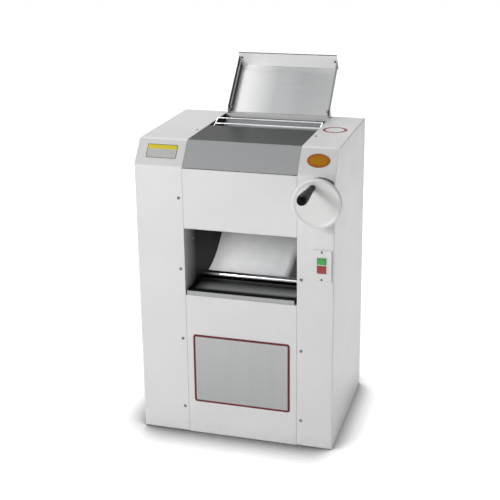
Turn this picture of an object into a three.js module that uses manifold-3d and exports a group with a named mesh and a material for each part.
// Table-height dough roller: a sheet-steel cabinet with two driven rollers between side walls.
// Millimetres, +Z up, X to the operator's right, Y to the back, floor under the middle at zero.
import * as THREE from "three";
import { mergeVertices } from "three/addons/utils/BufferGeometryUtils.js";
import Module from "manifold-3d";

const wasm = await Module();
wasm.setup();

// Driving dimensions of the cabinet
const cabinetWidth = 520;
const cabinetDepth = 400;
const cabinetHeight = 800;
const sheet = 1.5;
const gap = 0.4;
const wallPlate = 15;
const basePlate = 6;
const cornerRadius = 3;

// Driving dimensions of the rolling gear
const rollerDiameter = 80;
const journalDiameter = 35;
const restNip = 1.5;
const nipTravel = 12;
const runClearance = 0.35;
const screwDiameter = 10;
const sprocketDiameter = 36;
const sprocketTeeth = 14;

// Driving dimensions of the drive
const bullTeeth = 48;
const pinionTeeth = 18;
const driveModule = 3.5;
const syncTeeth = 12;
const motorDiameter = 140;
const motorShaftDiameter = 18;
const bigPulleyDiameter = 224;
const smallPulleyDiameter = 76;

// Driving dimensions of the parts an operator handles
const wheelDiameter = 124;
const wheelStandOff = 55;
const gripLength = 118;
const trayFloorLength = 158;
const trayLean = THREE.MathUtils.degToRad(46.2);
const trayWallHeight = 35.5;
const trayLipLength = 48.6;
const trayLipOpening = THREE.MathUtils.degToRad(15.3);
const trayWallFlare = 3.3;
const guardRodDiameter = 4;
const outletRollerDiameter = 18;
const catchTrayHeight = 11.5;
const buttonDepth = 6;

// Where things sit, as shares of the cabinet's width, depth and height
const widthShares = {
  seamLeft: -0.2529, seamRight: 0.3183, wheel: 0.434, trayLeft: -0.2279, trayRight: 0.3048,
  switchMid: 0.4412, motorLeft: -0.183, motorRight: 0.26, catchLeft: -0.2452, catchRight: 0.3048,
  gland: 0.413,
};
const depthShares = {
  chamfer: -0.377, hoodRear: 0.045, rearStrip: 0.44, rearRoller: 0.24, trayFoot: 0.4798,
  guardPivot: 0.13, guardLow: 0.168, guardTop: 0.241, outletRoller: -0.1425, motor: 0.1,
  catchRear: -0.18, slideTop: 0.43, chuteFoot: -0.095, chuteLow: -0.0075, chuteMid: 0.1475,
  chuteHigh: 0.29, chuteTop: 0.375, notch: -0.45,
};
const heightShares = {
  chamfer: 0.9232, outletTop: 0.7238, outletBottom: 0.5119, rollers: 0.835, wheel: 0.8568,
  switchMid: 0.6389, motor: 0.1475, guardPivot: 0.9861, guardLow: 0.9928, guardTop: 1.0037,
  outletRoller: 0.5075, chuteFoot: 0.4985, chuteLow: 0.4996, chuteMid: 0.5279, chuteHigh: 0.5845,
  chuteTop: 0.6319, gland: 0.1125,
};
const scaled = (shares, size) =>
  Object.fromEntries(Object.entries(shares).map(([key, share]) => [key, share * size]));
const X = scaled(widthShares, cabinetWidth);
const Y = scaled(depthShares, cabinetDepth);
const Z = scaled(heightShares, cabinetHeight);
const left = -cabinetWidth / 2;
const right = cabinetWidth / 2;
const front = -cabinetDepth / 2;
const rear = cabinetDepth / 2;
const top = cabinetHeight;

// Sizes that follow from the ones above
const rollerRadius = rollerDiameter / 2;
const journalRadius = journalDiameter / 2;
const centreDistance = rollerDiameter + restNip;
const frontRollerY = Y.rearRoller - centreDistance;
const insideSheet = sheet + gap;
const leftOuter = X.seamLeft - wallPlate;
const rightOuter = X.seamRight + wallPlate;
const leftBay = leftOuter - (left + insideSheet);
const leftWallMid = X.seamLeft - wallPlate / 2;
const rightWallMid = X.seamRight + wallPlate / 2;

const finishes = {
  whitePaint: { color: "#dcdcda", roughness: 0.45, metalness: 0 },
  stainless: { color: "#b4b5b6", roughness: 0.3, metalness: 1 },
  darkStainless: { color: "#8d8e90", roughness: 0.35, metalness: 1 },
  castIron: { color: "#6d6f72", roughness: 0.7, metalness: 0.6 },
  chrome: { color: "#c9cacc", roughness: 0.12, metalness: 1 },
  machinedSteel: { color: "#8f9194", roughness: 0.4, metalness: 1 },
  blackPlastic: { color: "#1c1c1e", roughness: 0.5, metalness: 0 },
  whitePlastic: { color: "#e2e2e0", roughness: 0.35, metalness: 0 },
  greenPlastic: { color: "#1f9a63", roughness: 0.35, metalness: 0 },
  redPlastic: { color: "#c8363c", roughness: 0.35, metalness: 0 },
  rubber: { color: "#202021", roughness: 0.8, metalness: 0 },
  motorPaint: { color: "#4a6a86", roughness: 0.5, metalness: 0.1 },
};

const part = new THREE.Group();
part.name = "pizza_dough_roller";

// Turns a geometry into a closed manifold solid.
function solid(geometry) {
  const bare = geometry.clone();
  bare.deleteAttribute("normal");
  bare.deleteAttribute("uv");
  const merged = mergeVertices(bare, 1e-4);
  return new wasm.Manifold(new wasm.Mesh({
    numProp: merged.attributes.position.itemSize,
    vertProperties: new Float32Array(merged.attributes.position.array),
    triVerts: new Uint32Array(merged.index.array),
  }));
}

// Adds one named body, painted with one finish, to the machine.
function addNode(name, body, finish) {
  const mesh = body.getMesh();
  const geometry = new THREE.BufferGeometry();
  geometry.setAttribute("position", new THREE.BufferAttribute(new Float32Array(mesh.vertProperties), 3));
  geometry.setIndex(new THREE.BufferAttribute(new Uint32Array(mesh.triVerts), 1));
  geometry.computeVertexNormals();
  const node = new THREE.Mesh(geometry, new THREE.MeshStandardMaterial(finishes[finish]));
  node.name = name;
  part.add(node);
}

const join = (bodies) => bodies.reduce((whole, body) => whole.add(body));
const cut = (body, tools) => tools.reduce((rest, tool) => rest.subtract(tool), body);

// An upright box between two corners.
function box(x0, x1, y0, y1, z0, z1) {
  const geometry = new THREE.BoxGeometry(x1 - x0, y1 - y0, z1 - z0);
  geometry.translate((x0 + x1) / 2, (y0 + y1) / 2, (z0 + z1) / 2);
  return solid(geometry);
}

function toShape(points) {
  const shape = new THREE.Shape(points.map(([u, v]) => new THREE.Vector2(u, v)));
  return shape;
}

const turnsFlatToX = new THREE.Matrix4().set(0, 0, 1, 0, 1, 0, 0, 0, 0, 1, 0, 0, 0, 0, 0, 1);
const turnsFlatToY = new THREE.Matrix4().set(1, 0, 0, 0, 0, 0, -1, 0, 0, 1, 0, 0, 0, 0, 0, 1);

// A prism along X whose section is given as (y, z) points, with an optional hole.
function prismX(points, x0, x1, hole = null) {
  const shape = toShape(points);
  if (hole) shape.holes.push(toShape(hole));
  const geometry = new THREE.ExtrudeGeometry(shape, { depth: x1 - x0, bevelEnabled: false });
  geometry.applyMatrix4(turnsFlatToX);
  geometry.translate(x0, 0, 0);
  return solid(geometry);
}

// A prism along Y whose section is given as (x, z) points, with an optional hole.
function prismY(points, y0, y1, hole = null) {
  const shape = toShape(points);
  if (hole) shape.holes.push(toShape(hole));
  const geometry = new THREE.ExtrudeGeometry(shape, { depth: y1 - y0, bevelEnabled: false });
  geometry.applyMatrix4(turnsFlatToY);
  geometry.translate(0, y1, 0);
  return solid(geometry);
}

// A prism along Z whose section is given as (x, y) points.
function prismZ(points, z0, z1) {
  const geometry = new THREE.ExtrudeGeometry(toShape(points), { depth: z1 - z0, bevelEnabled: false });
  geometry.translate(0, 0, z0);
  return solid(geometry);
}

// A body of revolution about an X axis at (y, z); the profile lists (radius, x).
function latheX(profile, y, z, segments = 24) {
  const points = profile.map(([radius, x]) => new THREE.Vector2(radius, x));
  const geometry = new THREE.LatheGeometry(points, segments);
  geometry.rotateZ(-Math.PI / 2);
  geometry.translate(0, y, z);
  return solid(geometry);
}

// A body of revolution about a Y axis at (x, z); the profile lists (radius, y).
function latheY(profile, x, z, segments = 24) {
  const points = profile.map(([radius, y]) => new THREE.Vector2(radius, y));
  const geometry = new THREE.LatheGeometry(points, segments);
  geometry.translate(x, 0, z);
  return solid(geometry);
}

const rodX = (y, z, radius, x0, x1, segments = 24) =>
  latheX([[0, x0], [radius, x0], [radius, x1], [0, x1]], y, z, segments);
const rodY = (x, z, radius, y0, y1, segments = 24) =>
  latheY([[0, y0], [radius, y0], [radius, y1], [0, y1]], x, z, segments);
const ringX = (y, z, inner, outer, x0, x1, segments = 24) =>
  cut(rodX(y, z, outer, x0, x1, segments), [rodX(y, z, inner, x0 - gap, x1 + gap, segments)]);

// Moves every edge of an anticlockwise outline inwards by a distance.
function inset(points, distance) {
  const lines = points.map((p, i) => {
    const q = points[(i + 1) % points.length];
    const length = Math.hypot(q[0] - p[0], q[1] - p[1]);
    const normal = [-(q[1] - p[1]) / length, (q[0] - p[0]) / length];
    return { p: [p[0] + normal[0] * distance, p[1] + normal[1] * distance],
      d: [q[0] - p[0], q[1] - p[1]] };
  });
  return lines.map((line, i) => meet(lines[(i + lines.length - 1) % lines.length], line));
}

function meet(a, b) {
  const cross = a.d[0] * b.d[1] - a.d[1] * b.d[0];
  const t = ((b.p[0] - a.p[0]) * b.d[1] - (b.p[1] - a.p[1]) * b.d[0]) / cross;
  return [a.p[0] + a.d[0] * t, a.p[1] + a.d[1] * t];
}

// Rounds every corner of an outline with a short arc of three points.
function rounded(points, radius) {
  return points.flatMap((p, i) => {
    const before = points[(i + points.length - 1) % points.length];
    const after = points[(i + 1) % points.length];
    const start = towards(p, before, radius);
    const end = towards(p, after, radius);
    const middle = [0, 1].map((k) => p[k] * 0.5 + (start[k] + end[k]) * 0.25);
    return [start, middle, end];
  });
}

function towards(from, to, distance) {
  const share = distance / Math.hypot(to[0] - from[0], to[1] - from[1]);
  return [from[0] + (to[0] - from[0]) * share, from[1] + (to[1] - from[1]) * share];
}

// The section of a folded sheet: a path and the same path set off to its left by the thickness.
function folded(path, thickness) {
  const offset = path.map((p, i) => {
    const ahead = edgeLine(path, Math.min(i, path.length - 2), thickness);
    const behind = edgeLine(path, Math.max(i - 1, 0), thickness);
    if (i === 0) return ahead.p;
    if (i === path.length - 1) return [behind.p[0] + behind.d[0], behind.p[1] + behind.d[1]];
    return meet(behind, ahead);
  });
  return [...path, ...offset.reverse()];
}

function edgeLine(path, i, thickness) {
  const [p, q] = [path[i], path[i + 1]];
  const length = Math.hypot(q[0] - p[0], q[1] - p[1]);
  const normal = [-(q[1] - p[1]) / length, (q[0] - p[0]) / length];
  return { p: [p[0] + normal[0] * thickness, p[1] + normal[1] * thickness],
    d: [q[0] - p[0], q[1] - p[1]] };
}

const rectangle = (u0, u1, v0, v1) => [[u0, v0], [u1, v0], [u1, v1], [u0, v1]];

// An outline round a row of circles, like a belt: each entry is [u, v, radius], anticlockwise.
function beltOutline(circles, extra, steps = 12) {
  const points = [];
  circles.forEach(([u, v, radius], i) => {
    const before = circles[(i + circles.length - 1) % circles.length];
    const after = circles[(i + 1) % circles.length];
    const from = tangentAngle(before, circles[i]);
    let to = tangentAngle(circles[i], after);
    while (to < from) to += 2 * Math.PI;
    const count = Math.max(1, Math.ceil((to - from) / (Math.PI / steps)));
    for (let k = 0; k <= count; k += 1) {
      const angle = from + ((to - from) * k) / count;
      points.push([u + Math.cos(angle) * (radius + extra), v + Math.sin(angle) * (radius + extra)]);
    }
  });
  return points;
}

// The direction from a circle's centre to where the shared outer tangent touches it.
function tangentAngle(a, b) {
  const along = Math.atan2(b[1] - a[1], b[0] - a[0]);
  const lean = Math.acos((a[2] - b[2]) / Math.hypot(b[0] - a[0], b[1] - a[1]));
  return along - lean;
}

// A spur gear's outline with involute flanks; phase turns it by a share of one tooth pitch.
function gearOutline(teeth, pitchRadius, addendum, dedendum, backlash, phase, centre) {
  const pressure = THREE.MathUtils.degToRad(20);
  const baseRadius = pitchRadius * Math.cos(pressure);
  const involute = (a) => Math.tan(a) - a;
  const halfAt = (radius) => {
    const lean = radius > baseRadius ? Math.acos(baseRadius / radius) : 0;
    return Math.PI / (2 * teeth) - backlash / (2 * pitchRadius) + involute(pressure) - involute(lean);
  };
  const radii = [pitchRadius - dedendum, pitchRadius, pitchRadius + addendum];
  const points = [];
  for (let i = 0; i < teeth; i += 1) {
    const middle = ((i + phase) * 2 * Math.PI) / teeth;
    for (const radius of radii) points.push(polar(centre, radius, middle - halfAt(radius)));
    for (const radius of [...radii].reverse()) points.push(polar(centre, radius,
      middle + halfAt(radius)));
  }
  return points;
}

const polar = (centre, radius, angle) =>
  [centre[0] + radius * Math.cos(angle), centre[1] + radius * Math.sin(angle)];

// The cabinet seen from the side, as anticlockwise (y, z) points.
function sideOutline(bottom) {
  return [[front, bottom], [rear, bottom], [rear, top], [Y.chamfer, top], [front, Z.chamfer]];
}

function addBasePlate() {
  const reach = insideSheet;
  addNode("base_plate", box(left + reach, right - reach, front + reach, rear - reach, 0, basePlate),
    "castIron");
}

// Distances from the left wall outwards, as shares of the left bay
const bayShares = {
  syncNear: 0.07, syncFar: 0.2, frontEnd: 0.22, bullNear: 0.26, bullFar: 0.39, rearEnd: 0.42,
  pulleyNear: 0.48, beltNear: 0.53, beltFar: 0.64, pulleyFar: 0.69, shaftEnd: 0.73,
};
const bay = Object.fromEntries(
  Object.entries(bayShares).map(([key, share]) => [key, leftOuter - share * leftBay]));

// Gear sizes and where the countershaft comes to lie below the rear roller
const bullPitchRadius = (driveModule * bullTeeth) / 2;
const pinionPitchRadius = (driveModule * pinionTeeth) / 2;
const counterAngle = THREE.MathUtils.degToRad(255);
const counter = polar([Y.rearRoller, Z.rollers], bullPitchRadius + pinionPitchRadius, counterAngle);
const counterRadius = journalRadius * 0.7;
const motorShaftRadius = motorShaftDiameter / 2;

// Bearing blocks and the window they sit in
const blockHalfHeight = rollerRadius * 0.9;
const blockFrontReach = rollerRadius * 1.1;
const blockBackReach = rollerRadius * 0.9;
const blockProud = wallPlate * 0.15;
const windowFront = frontRollerY - blockFrontReach - nipTravel - gap * 3;
const windowRear = Y.rearRoller + rollerRadius * 0.95 + gap;

// Hole and screw sizes used in more than one place
const screwRadius = screwDiameter / 2;
const sprocketRadius = sprocketDiameter / 2;
const chainThickness = sprocketRadius * 0.22;
const sprocketFront = front + insideSheet + cabinetDepth * 0.015;
const sprocketRear = sprocketFront + cabinetDepth * 0.015;
const guardRadius = guardRodDiameter / 2;
const outletRadius = outletRollerDiameter / 2;
const outletPinRadius = outletRadius * 0.45;
const pinDepth = wallPlate * 0.6;
const spindleRadius = screwRadius * 1.3;

// One side wall, with its bearing window, screw bore and pin bores; far is its outer face.
function sideWall(inner, outer, extraCuts) {
  const [x0, x1] = [Math.min(inner, outer), Math.max(inner, outer)];
  const outline = inset(sideOutline(basePlate + gap - insideSheet), insideSheet);
  const body = prismX(outline, x0, x1);
  const through = (y, z, radius, segments) => rodX(y, z, radius, x0 - gap, x1 + gap, segments);
  const inwards = inner > outer ? [inner - pinDepth, inner + gap] : [inner - gap, inner + pinDepth];
  const chainReach = sprocketRadius * 1.6;
  const window = box(x0 - gap, x1 + gap, windowFront, windowRear,
    Z.rollers - blockHalfHeight - gap, Z.rollers + blockHalfHeight + gap);
  const notch = box(x0 - gap, x1 + gap, front, sprocketRear + gap * 2,
    Z.rollers - chainReach, Z.wheel + chainReach);
  const screwBore = rodY((x0 + x1) / 2, Z.rollers, screwRadius + runClearance, front, windowFront + gap);
  const guardBore = rodX(Y.guardPivot, Z.guardPivot, guardRadius + runClearance, ...inwards, 12);
  const outletBore = rodX(Y.outletRoller, Z.outletRoller, outletPinRadius + runClearance, ...inwards, 12);
  return cut(body, [window, notch, screwBore, guardBore, outletBore, ...extraCuts(through)]);
}

function addWalls() {
  const driveHoles = (through) => [
    through(counter[0], counter[1], counterRadius + runClearance * 2, 24),
    through(Y.motor, Z.motor, motorShaftRadius * 2, 24),
  ];
  addNode("left_wall_plate", sideWall(X.seamLeft, leftOuter, driveHoles), "castIron");
  addNode("right_wall_plate", sideWall(X.seamRight, rightOuter, () => []), "castIron");
}

// Round bars that hold the two walls apart, clear of the dough's path.
function addTieBars() {
  const places = {
    tie_bar_top: [front * 0.83, top * 0.905],
    tie_bar_middle: [rear * 0.87, top * 0.6],
    tie_bar_low_front: [front * 0.8, top * 0.3],
    tie_bar_low_rear: [rear * 0.8, top * 0.3],
  };
  for (const [name, [y, z]] of Object.entries(places)) {
    addNode(name, rodX(y, z, journalRadius * 0.5, X.seamLeft + gap, X.seamRight - gap, 12),
      "machinedSteel");
  }
}

// A folded cover: a thin shell round the cabinet's side profile, open below and towards the middle.
function sideCover(outside, seam) {
  const [x0, x1] = [Math.min(outside, seam), Math.max(outside, seam)];
  const outer = prismX(rounded(sideOutline(sheet), cornerRadius), x0, x1);
  const corners = rounded(rectangle(Math.min(outside, -outside), Math.max(outside, -outside), front,
    rear), cornerRadius);
  const edges = rounded(rectangle(Math.min(outside, -outside), Math.max(outside, -outside), -top, top),
    cornerRadius);
  const shell = outer.intersect(prismZ(corners, -top, top * 2)).intersect(prismY(edges, front - gap,
    rear + gap));
  const innerOutline = inset(sideOutline(-top), sheet);
  const inner = outside < seam
    ? prismX(innerOutline, x0 + sheet, x1 + gap)
    : prismX(innerOutline, x0 - gap, x1 - sheet);
  return cut(shell, [inner]);
}

function addSideCovers() {
  addNode("left_side_cover", sideCover(left, X.seamLeft), "whitePaint");
  const spindleHole = rodY(X.wheel, Z.wheel, spindleRadius * 1.5, front - gap, front + insideSheet);
  const switchHole = box(X.switchMid - switchHalfWidth * 0.8, X.switchMid + switchHalfWidth * 0.8,
    front - gap, front + insideSheet, Z.switchMid - switchHalfHeight * 0.75,
    Z.switchMid + switchHalfHeight * 0.75);
  const glandHole = rodY(X.gland, Z.gland, glandRadius * 0.6, rear - insideSheet, rear + gap);
  const cover = cut(sideCover(right, X.seamRight), [spindleHole, switchHole, glandHole]);
  addNode("right_side_cover", cover, "whitePaint");
}

const panelLeft = X.seamLeft + gap;
const panelRight = X.seamRight - gap;
const panelFold = cabinetDepth * 0.045;

// The panels between the side covers are folded sheets, so each is a bent section along X.
function addPanels() {
  const upper = [[front + sheet + panelFold, Z.outletTop + sheet], [front + sheet, Z.outletTop + sheet],
    [front + sheet, Z.chamfer - sheet]];
  addNode("upper_front_panel", prismX(folded(upper.reverse(), -sheet).reverse(), panelLeft, panelRight),
    "whitePaint");
  const lowerTop = Z.outletBottom - catchTrayHeight - gap * 1.5;
  const lower = [[front, sheet], [front, lowerTop], [front + panelFold, lowerTop]];
  addNode("lower_front_panel", prismX(folded(lower, -sheet).reverse(), panelLeft, panelRight),
    "whitePaint");
  const back = [[rear, basePlate + gap], [rear, top], [Y.rearStrip, top],
    [Y.rearStrip, top - panelFold * 0.6]];
  addNode("rear_panel", prismX(folded(back, sheet), panelLeft, panelRight), "whitePaint");
  const hood = [[front, Z.chamfer + gap], [Y.chamfer, top], [Y.hoodRear, top],
    [Y.hoodRear, top - panelFold * 2.5]];
  addNode("top_hood", prismX(folded(hood, -sheet).reverse(), panelLeft, panelRight), "stainless");
}

function addDoughPlates() {
  const slideFoot = polar([Y.rearRoller, Z.rollers], rollerRadius + gap * 3, Math.PI / 2 + 0.05);
  const slide = [slideFoot, [Y.slideTop, top - panelFold * 0.9],
    [Y.slideTop, top - panelFold * 0.9 + sheet * 2]];
  addNode("feed_slide", prismX(folded(slide, sheet), panelLeft, panelRight), "stainless");
  const bends = [
    [Y.chuteFoot, Z.chuteFoot], [Y.chuteLow, Z.chuteLow], [Y.chuteMid, Z.chuteMid],
    [Y.chuteHigh, Z.chuteHigh], [Y.chuteTop, Z.chuteTop],
  ].map(([y, z]) => new THREE.Vector2(y, z));
  const chute = new THREE.SplineCurve(bends).getPoints(16).map(({ x, y }) => [x, y]);
  addNode("outlet_chute", prismX(folded(chute, -sheet).reverse(), panelLeft, panelRight), "stainless");
}

// A bearing block: a steel slab with a bore for the journal, and a tapped hole if a screw moves it.
function bearingBlock(inner, outer, y, frontReach, backReach, tapped) {
  const proud = outer + Math.sign(outer) * blockProud;
  const [x0, x1] = [Math.min(inner, proud), Math.max(inner, proud)];
  const body = box(x0, x1, y - frontReach, y + backReach, Z.rollers - blockHalfHeight,
    Z.rollers + blockHalfHeight);
  const bore = rodX(y, Z.rollers, journalRadius + runClearance, x0 - gap, x1 + gap);
  const hole = rodY((inner + outer) / 2, Z.rollers, screwRadius + runClearance, y - frontReach - gap,
    y - frontReach + nipTravel * 1.35);
  return cut(body, tapped ? [bore, hole] : [bore]);
}

function addBearingBlocks() {
  for (const [side, inner, outer] of [["left", X.seamLeft, leftOuter],
    ["right", X.seamRight, rightOuter]]) {
    const rearBlock = bearingBlock(inner, outer, Y.rearRoller, blockBackReach, rollerRadius * 0.95,
      false);
    addNode(`${side}_rear_block`, rearBlock, "castIron");
    const frontBlock = bearingBlock(inner, outer, frontRollerY, blockFrontReach, blockBackReach, true);
    addNode(`${side}_front_block`, frontBlock, "castIron");
  }
}

// A roller turned with its journals from one bar.
function roller(y, leftEnd, rightEnd) {
  const face = [X.seamLeft + gap * 2.5, X.seamRight - gap * 2.5];
  return latheX([
    [0, leftEnd], [journalRadius, leftEnd], [journalRadius, face[0]], [rollerRadius, face[0]],
    [rollerRadius, face[1]], [journalRadius, face[1]], [journalRadius, rightEnd], [0, rightEnd],
  ], y, Z.rollers, 36);
}

function gearX(outline, centre, bore, x0, x1) {
  return cut(prismX(outline, x0, x1), [rodX(centre[0], centre[1], bore, x0 - gap, x1 + gap)]);
}

const share = (value) => value - Math.floor(value);

function addRollers() {
  const rightEnd = rightOuter + wallPlate * 0.25;
  addNode("rear_roller", roller(Y.rearRoller, bay.rearEnd, rightEnd), "chrome");
  addNode("front_roller", roller(frontRollerY, bay.frontEnd, rightEnd), "chrome");
  const rearCentre = [Y.rearRoller, Z.rollers];
  const frontCentre = [frontRollerY, Z.rollers];
  const pitchRadius = centreDistance / 2;
  const [addendum, dedendum, slack] = [0.17, 0.2, 0.035].map((part) => part * pitchRadius);
  const rearTeeth = gearOutline(syncTeeth, pitchRadius, addendum, dedendum, slack,
    share(syncTeeth / 2 + 0.5), rearCentre);
  const frontTeeth = gearOutline(syncTeeth, pitchRadius, addendum, dedendum, slack, 0, frontCentre);
  addNode("rear_roller_gear", gearX(rearTeeth, rearCentre, journalRadius + gap, bay.syncFar,
    bay.syncNear), "castIron");
  addNode("front_roller_gear", gearX(frontTeeth, frontCentre, journalRadius + gap, bay.syncFar,
    bay.syncNear), "castIron");
  const turn = (counterAngle * bullTeeth) / (2 * Math.PI);
  const bull = gearOutline(bullTeeth, bullPitchRadius, driveModule * 0.95, driveModule * 1.25,
    driveModule * 0.1, share(turn), rearCentre);
  addNode("bull_gear", gearX(bull, rearCentre, journalRadius + gap, bay.bullFar, bay.bullNear),
    "castIron");
}

// A grooved pulley on a shaft; hub is its bore.
function pulley(centre, radius, groove, hub) {
  const lip = (bay.pulleyNear - bay.pulleyFar) * 0.12;
  const slope = (bay.beltNear - bay.beltFar) * 0.12;
  const profile = [
    [0, bay.pulleyFar], [radius, bay.pulleyFar], [radius, bay.pulleyFar + lip],
    [groove, bay.beltFar - slope], [groove, bay.beltNear + slope],
    [radius, bay.pulleyNear - lip], [radius, bay.pulleyNear], [0, bay.pulleyNear],
  ];
  const bore = rodX(centre[0], centre[1], hub, bay.pulleyFar - gap, bay.pulleyNear + gap);
  return cut(latheX(profile, centre[0], centre[1], 36), [bore]);
}

const bigGroove = bigPulleyDiameter * 0.455;
const smallGroove = smallPulleyDiameter * 0.37;

function addDrive() {
  addNode("countershaft", rodX(counter[0], counter[1], counterRadius, bay.shaftEnd,
    X.seamLeft - gap * 3), "machinedSteel");
  const turn = ((counterAngle + Math.PI) * pinionTeeth) / (2 * Math.PI) + 0.5;
  const teeth = gearOutline(pinionTeeth, pinionPitchRadius, driveModule * 0.95, driveModule * 1.25,
    driveModule * 0.1, share(turn), counter);
  addNode("pinion", gearX(teeth, counter, counterRadius + gap, bay.bullFar, bay.bullNear),
    "machinedSteel");
  addNode("big_pulley", pulley(counter, bigPulleyDiameter / 2, bigGroove, counterRadius + gap),
    "castIron");
  const housing = ringX(counter[0], counter[1], counterRadius + runClearance * 2, counterRadius * 2.4,
    bay.frontEnd, leftOuter - gap, 24);
  addNode("countershaft_housing", housing, "castIron");
  const motorCentre = [Y.motor, Z.motor];
  addNode("motor_shaft", rodX(...motorCentre, motorShaftRadius, bay.shaftEnd,
    X.motorLeft + motorDiameter * 0.2), "machinedSteel");
  addNode("motor_pulley", pulley(motorCentre, smallPulleyDiameter / 2, smallGroove,
    motorShaftRadius + gap), "castIron");
  const circles = [[...motorCentre, smallGroove], [...counter, bigGroove]];
  const belt = prismX(beltOutline(circles, smallPulleyDiameter * 0.13), bay.beltFar, bay.beltNear,
    beltOutline(circles, gap * 2));
  addNode("drive_belt", belt, "rubber");
}

// Motor: round frame on a foot, a fan cowl at the far end and a terminal box in front.
function addMotor() {
  const radius = motorDiameter / 2;
  const length = X.motorRight - X.motorLeft;
  const [y, z] = [Y.motor, Z.motor];
  const frame = latheX([
    [0, X.motorLeft], [radius * 0.45, X.motorLeft], [radius * 0.9, X.motorLeft + length * 0.06],
    [radius, X.motorLeft + length * 0.1], [radius, X.motorRight - length * 0.25],
    [radius * 0.94, X.motorRight - length * 0.25], [radius * 0.94, X.motorRight - length * 0.03],
    [radius * 0.8, X.motorRight], [0, X.motorRight],
  ], y, z, 24);
  const foot = box(X.motorLeft + length * 0.2, X.motorRight - length * 0.35, y - radius * 0.85,
    y + radius * 0.85,
    basePlate + gap, z - radius * 0.55);
  const terminals = box(X.motorLeft + length * 0.3, X.motorRight - length * 0.45, y - radius * 1.3, y,
    z, z + radius * 0.55);
  const bore = rodX(y, z, motorShaftRadius + runClearance * 2, X.motorLeft - gap,
    X.motorLeft + motorDiameter * 0.22);
  addNode("motor", cut(join([frame, foot, terminals]), [bore]), "motorPaint");
}

// A chain wheel with blunt teeth on a hub, bored for its shaft.
function sprocket(x, z, bore) {
  const points = [];
  for (let i = 0; i < sprocketTeeth * 2; i += 1) {
    const radius = i % 2 ? sprocketRadius : sprocketRadius * 0.86;
    points.push(polar([x, z], radius, ((i + 0.5) * Math.PI) / sprocketTeeth));
  }
  const hub = rodY(x, z, sprocketRadius * 0.6, sprocketFront, sprocketRear + gap * 1.2, 16);
  return cut(join([prismY(points, sprocketFront, sprocketRear), hub]),
    [rodY(x, z, bore, sprocketFront - gap, sprocketRear + gap * 4, 24)]);
}

function addAdjustment() {
  const screwFront = front + insideSheet + gap * 4;
  const screwTip = frontRollerY - blockFrontReach + nipTravel * 0.15;
  for (const [side, x] of [["left", leftWallMid], ["right", rightWallMid]]) {
    addNode(`${side}_adjusting_screw`, rodY(x, Z.rollers, screwRadius, screwFront, screwTip, 16),
      "machinedSteel");
    addNode(`${side}_screw_sprocket`, sprocket(x, Z.rollers, screwRadius + gap), "machinedSteel");
  }
  addNode("wheel_sprocket", sprocket(X.wheel, Z.wheel, spindleRadius + gap), "machinedSteel");
  const circles = [
    [leftWallMid, Z.rollers, sprocketRadius], [rightWallMid, Z.rollers, sprocketRadius],
    [X.wheel, Z.wheel, sprocketRadius],
  ];
  const chain = prismY(beltOutline(circles, gap + chainThickness), sprocketFront, sprocketRear,
    beltOutline(circles, gap));
  addNode("adjusting_chain", chain, "machinedSteel");
}

// The plate that carries the handwheel's spindle inside the right cover.
function addSpindleBracket() {
  const plateFront = sprocketRear + gap * 5;
  const plateRear = plateFront + wallPlate * 0.6;
  const reach = sprocketRadius * 1.5;
  const plate = box(rightOuter + gap, X.wheel + reach * 0.9, plateFront, plateRear, Z.wheel - reach,
    Z.wheel + reach);
  const foot = box(rightOuter + gap, rightOuter + wallPlate * 0.5, plateFront,
    plateFront + cabinetDepth * 0.13, Z.wheel - reach, Z.wheel + reach);
  const bore = rodY(X.wheel, Z.wheel, spindleRadius + runClearance, plateFront - gap, plateRear + gap);
  addNode("spindle_bracket", cut(join([plate, foot]), [bore]), "castIron");
  return plateRear;
}

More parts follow.
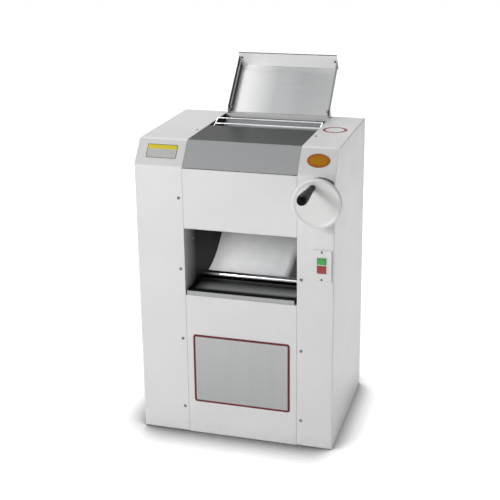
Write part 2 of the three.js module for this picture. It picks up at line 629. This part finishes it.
// Handwheel, its spindle and the free-turning grip on its stud.
function addHandwheel(spindleEnd) {
  const radius = wheelDiameter / 2;
  const face = front - wheelStandOff;
  const depth = wheelDiameter * 0.1;
  const wheel = latheY([
    [0, face + depth * 0.4], [radius * 0.3, face + depth * 0.4], [radius * 0.82, face + depth * 0.22],
    [radius * 0.92, face], [radius * 0.98, face + depth * 0.1], [radius, face + depth * 0.35],
    [radius, face + depth * 0.8], [radius * 0.96, face + depth], [radius * 0.9, face + depth * 0.7],
    [radius * 0.3, face + depth * 0.85], [spindleRadius * 2, face + depth * 2.6], [0, face + depth * 2.6],
  ], X.wheel, Z.wheel, 48);
  const socket = rodY(X.wheel, Z.wheel, spindleRadius + gap, face + depth * 0.9, face + depth * 3);
  const stud = [X.wheel - radius * 0.17, Z.wheel + radius * 0.65];
  const studRadius = spindleRadius * 0.58;
  const studHole = rodY(...stud, studRadius + gap, face - gap, face + depth * 2, 16);
  addNode("handwheel", cut(wheel, [socket, studHole]), "whitePaint");
  addNode("wheel_spindle", rodY(X.wheel, Z.wheel, spindleRadius, face + depth, spindleEnd + gap * 5),
    "machinedSteel");
  const gripBase = face - gap;
  const gripEnd = gripBase - gripLength;
  const studEnd = gripEnd + gripLength * 0.12;
  const studBody = latheY([
    [0, studEnd], [studRadius, studEnd], [studRadius, face + depth * 0.95],
    [studRadius * 1.7, face + depth * 0.95], [studRadius * 1.7, face + depth * 1.3],
    [0, face + depth * 1.3],
  ], ...stud, 16);
  addNode("grip_stud", studBody, "machinedSteel");
  const thick = radius * 0.21;
  const grip = latheY([
    [0, gripEnd], [thick * 0.5, gripEnd + gripLength * 0.012],
    [thick * 0.82, gripEnd + gripLength * 0.05],
    [thick * 0.98, gripEnd + gripLength * 0.12], [thick, gripEnd + gripLength * 0.2],
    [thick * 0.86, gripEnd + gripLength * 0.5], [thick * 0.64, gripEnd + gripLength * 0.8],
    [thick * 0.6, gripBase], [0, gripBase],
  ], ...stud, 24);
  const gripBore = rodY(...stud, studRadius + runClearance, studEnd - gap * 2, gripBase + gap, 16);
  addNode("wheel_grip", cut(grip, [gripBore]), "blackPlastic");
  const dial = latheY([
    [0, front - wheelStandOff * 0.25], [spindleRadius * 2, front - wheelStandOff * 0.25],
    [spindleRadius * 2.2, front - wheelStandOff * 0.1], [radius * 0.83, front - wheelStandOff * 0.06],
    [radius * 0.845, front - gap], [0, front - gap],
  ], X.wheel, Z.wheel, 48);
  const dialBore = rodY(X.wheel, Z.wheel, spindleRadius + runClearance, front - wheelStandOff, front);
  const dialTrim = box(right - insideSheet * 2, right + radius, front - wheelStandOff, front,
    Z.wheel - radius, Z.wheel + radius);
  addNode("dial_ring", cut(dial, [dialBore, dialTrim]), "blackPlastic");
}

const switchHalfWidth = cabinetWidth * 0.0474;
const switchHalfHeight = cabinetHeight * 0.0515;

// Two push buttons side by side in height, in a plate on the cover with a switch body behind it.
function addSwitch() {
  const [x, z] = [X.switchMid, Z.switchMid];
  const plateFront = front - gap - buttonDepth * 0.7;
  const halfWidth = switchHalfWidth * 0.44;
  const buttons = [
    ["start_button", z + switchHalfHeight * 0.095, z + switchHalfHeight * 0.49, "greenPlastic"],
    ["stop_button", z - switchHalfHeight * 0.463, z + switchHalfHeight * 0.005, "redPlastic"],
  ];
  const bodyFront = front + insideSheet + gap;
  const bodyRear = bodyFront + buttonDepth * 4;
  const travel = buttonDepth * 0.45;
  const windows = buttons.map(([, low, high]) =>
    box(x - halfWidth - gap, x + halfWidth + gap, plateFront - gap * 3, bodyFront + buttonDepth * 1.5,
      low - gap, high + gap));
  const outline = rounded(rectangle(x - switchHalfWidth, x + switchHalfWidth, z - switchHalfHeight,
    z + switchHalfHeight), cornerRadius);
  addNode("switch_plate", cut(prismY(outline, plateFront, front - gap), windows), "whitePlastic");
  const body = box(x - switchHalfWidth * 0.75, x + switchHalfWidth * 0.75, bodyFront, bodyRear,
    z - switchHalfHeight * 0.7, z + switchHalfHeight * 0.7);
  addNode("switch_body", cut(body, windows), "blackPlastic");
  for (const [name, low, high, finish] of buttons) {
    const head = box(x - halfWidth, x + halfWidth, plateFront - travel * 1.2, bodyFront + buttonDepth,
      low, high);
    addNode(name, head, finish);
  }
}

const glandRadius = cabinetWidth * 0.023;

// The inlet for the mains cord, at the back and low down on the switch side.
function addCableGland() {
  const nut = [];
  for (let i = 0; i < 6; i += 1) nut.push(polar([X.gland, Z.gland], glandRadius, (i * Math.PI) / 3));
  const head = prismY(nut, rear + gap, rear + glandRadius * 0.7);
  const neck = rodY(X.gland, Z.gland, glandRadius * 0.75, rear + glandRadius * 0.6,
    rear + glandRadius * 1.4);
  const bore = rodY(X.gland, Z.gland, glandRadius * 0.4, rear - gap, rear + glandRadius * 1.6, 16);
  addNode("cable_gland", cut(join([head, neck]), [bore]), "blackPlastic");
}

function addOutlet() {
  const outletPin = [X.seamLeft - pinDepth * 0.8, X.seamRight + pinDepth * 0.8];
  const face = [X.seamLeft + gap * 2.5, X.seamRight - gap * 2.5];
  addNode("outlet_roller", latheX([
    [0, outletPin[0]], [outletPinRadius, outletPin[0]], [outletPinRadius, face[0]],
    [outletRadius, face[0]],
    [outletRadius, face[1]], [outletPinRadius, face[1]], [outletPinRadius, outletPin[1]],
    [0, outletPin[1]],
  ], Y.outletRoller, Z.outletRoller, 20), "chrome");
  const bottom = Z.outletBottom - catchTrayHeight;
  const pan = box(X.catchLeft, X.catchRight, front, Y.catchRear, bottom, Z.outletBottom);
  const hollow = box(X.catchLeft + sheet, X.catchRight - sheet, front + sheet, rear, bottom + sheet, top);
  addNode("catch_tray", cut(pan, [hollow]), "stainless");
  const railFront = front + panelFold + gap * 3;
  const railRear = Y.catchRear - gap * 2;
  const railTop = bottom - gap;
  const railBottom = railTop - sheet * 2;
  const reach = X.catchLeft - X.seamLeft + wallPlate * 0.3;
  addNode("left_tray_rail", box(panelLeft, X.seamLeft + reach, railFront, railRear, railBottom,
    railTop), "machinedSteel");
  addNode("right_tray_rail", box(X.seamRight - reach * 1.6, panelRight, railFront, railRear, railBottom,
    railTop), "machinedSteel");
}

// Scraper bars under the rollers keep dough from going round; the front one rides with its roller.
function addScrapers() {
  const blade = (y, z, lean) => {
    const reach = rollerRadius * 0.45;
    const points = [[0, 0], [sheet * 2, 0], [sheet * 2, -reach], [0, -reach]];
    const turned = points.map(([u, v]) => [
      y + u * Math.cos(lean) - v * Math.sin(lean), z + u * Math.sin(lean) + v * Math.cos(lean)]);
    return prismX(turned, X.seamLeft + gap * 2, X.seamRight - gap * 2);
  };
  const below = Z.rollers - rollerRadius - gap * 2 - sheet * 1.5;
  addNode("rear_scraper", blade(Y.rearRoller, below, 0.5), "darkStainless");
  addNode("front_scraper", blade(frontRollerY - sheet * 2, below, -0.5), "darkStainless");
}

function rodBetween(a, b, radius, segments = 12) {
  const [from, to] = [new THREE.Vector3(...a), new THREE.Vector3(...b)];
  const along = to.clone().sub(from);
  const geometry = new THREE.CylinderGeometry(radius, radius, along.length(), segments);
  geometry.applyQuaternion(new THREE.Quaternion().setFromUnitVectors(new THREE.Vector3(0, 1, 0),
    along.normalize()));
  const middle = from.add(to).multiplyScalar(0.5);
  geometry.translate(middle.x, middle.y, middle.z);
  return solid(geometry);
}

// A ladder of bright rods that keeps fingers away from the nip; it lifts about its front pins.
function addGuard() {
  const armLeft = X.seamLeft + guardRadius + gap * 2;
  const armRight = X.seamRight - guardRadius - gap * 2;
  const rods = [
    rodX(Y.guardLow, Z.guardLow, guardRadius, armLeft, armRight, 12),
    rodX(Y.guardTop, Z.guardTop, guardRadius, armLeft, armRight, 12),
    rodX(Y.guardPivot, Z.guardPivot, guardRadius, X.seamLeft - pinDepth * 0.8, armLeft, 12),
    rodX(Y.guardPivot, Z.guardPivot, guardRadius, armRight, X.seamRight + pinDepth * 0.8, 12),
  ];
  for (const x of [armLeft, armRight]) {
    rods.push(rodBetween([x, Y.guardPivot, Z.guardPivot], [x, Y.guardTop, Z.guardTop],
      guardRadius * 0.9));
  }
  addNode("finger_guard", join(rods), "chrome");
}

// Where the tray's pivot lies on the tray: along the floor and in from it.
const pivotAlong = trayFloorLength * 0.029;
const pivotIn = trayWallHeight * 0.563;
const pivotRadius = sheet * 2.6;
const onTray = (along, inwards) => [
  Y.trayFoot + along * Math.cos(trayLean) - inwards * Math.sin(trayLean),
  top + along * Math.sin(trayLean) + inwards * Math.cos(trayLean),
];

// The feed tray is one folded pan, drawn flat with the floor along Y and then leant back.
function addFeedTray() {
  const wall = trayWallHeight;
  const beyond = Math.tan(trayLipOpening);
  const channel = prismY(folded([
    [X.trayRight + trayWallFlare, wall], [X.trayRight, 0], [X.trayLeft, 0],
    [X.trayLeft - trayWallFlare, wall],
  ], sheet), -wall * 0.23, trayFloorLength + wall);
  const lipEnd = [trayFloorLength + trayLipLength * Math.sin(trayLipOpening),
    trayLipLength * Math.cos(trayLipOpening)];
  const wide = 0.3 * trayWallFlare;
  const lip = prismX(folded([lipEnd, [trayFloorLength, 0], [trayFloorLength - sheet, 0]], sheet),
    X.trayLeft - trayWallFlare - wide, X.trayRight + trayWallFlare + wide);
  const outside = [X.trayLeft - wall, X.trayRight + wall];
  const cutTop = prismX([
    [trayFloorLength - sheet * beyond + sheet / Math.cos(trayLipOpening), -sheet * 1.01],
    [trayFloorLength + wall * 2, -sheet * 1.01],
    [trayFloorLength + wall * 2, wall * 2],
    [trayFloorLength + wall * 2 * beyond + sheet / Math.cos(trayLipOpening), wall * 2],
  ], ...outside);
  const cutFoot = prismX([
    [-wall, -wall * 0.3], [sheet * 1.3, -wall * 0.3], [sheet * 1.3, 0], [-wall * 0.23, wall * 0.4],
    [-wall, wall * 0.4],
  ], ...outside);
  const cutHeel = prismX([[-wall, wall * 0.8], [-wall * 0.23, wall * 0.8], [-wall * 0.05, wall * 1.01],
    [-wall * 0.05, wall * 1.5], [-wall, wall * 1.5]], ...outside);
  const pinHoles = rodX(pivotAlong, pivotIn, pivotRadius + runClearance, ...outside, 20);
  const pan = cut(cut(channel, [cutTop]).add(lip), [cutFoot, cutHeel, pinHoles]);
  const degrees = THREE.MathUtils.radToDeg(trayLean);
  addNode("feed_tray", pan.rotate([degrees, 0, 0]).translate([0, Y.trayFoot, top]), "stainless");
}

// Two small brackets on the rear strip; each has a welded stud that the tray turns on.
function addTrayBrackets() {
  const [y, z] = onTray(pivotAlong, pivotIn);
  const side = (tray, outwards, name) => {
    const skin = tray + outwards * (trayWallFlare * 0.563 + sheet);
    const near = skin + outwards * sheet * 1.2;
    const far = near + outwards * sheet * 1.6;
    const [x0, x1] = [Math.min(near, far), Math.max(near, far)];
    const low = top + gap;
    const ear = pivotRadius * 1.9;
    const plate = prismX([
      [y - ear, low + sheet * 2], [y - ear * 0.5, low], [rear - sheet, low],
      [rear - sheet, low + sheet * 2],
      [y + ear, z], [y + ear * 0.6, z + ear * 0.8], [y - ear * 0.6, z + ear * 0.8], [y - ear, z],
    ], x0, x1);
    const stud = rodX(y, z, pivotRadius, Math.min(far, tray - outwards * sheet * 2),
      Math.max(far, tray - outwards * sheet * 2), 20);
    addNode(name, join([plate, stud]), "machinedSteel");
  };
  side(X.trayLeft, -1, "left_tray_bracket");
  side(X.trayRight, 1, "right_tray_bracket");
}

addBasePlate();
addWalls();
addTieBars();
addSideCovers();
addPanels();
addDoughPlates();
addBearingBlocks();
addRollers();
addDrive();
addMotor();
addAdjustment();
addHandwheel(addSpindleBracket());
addSwitch();
addCableGland();
addOutlet();
addScrapers();
addGuard();
addFeedTray();
addTrayBrackets();

export default part;
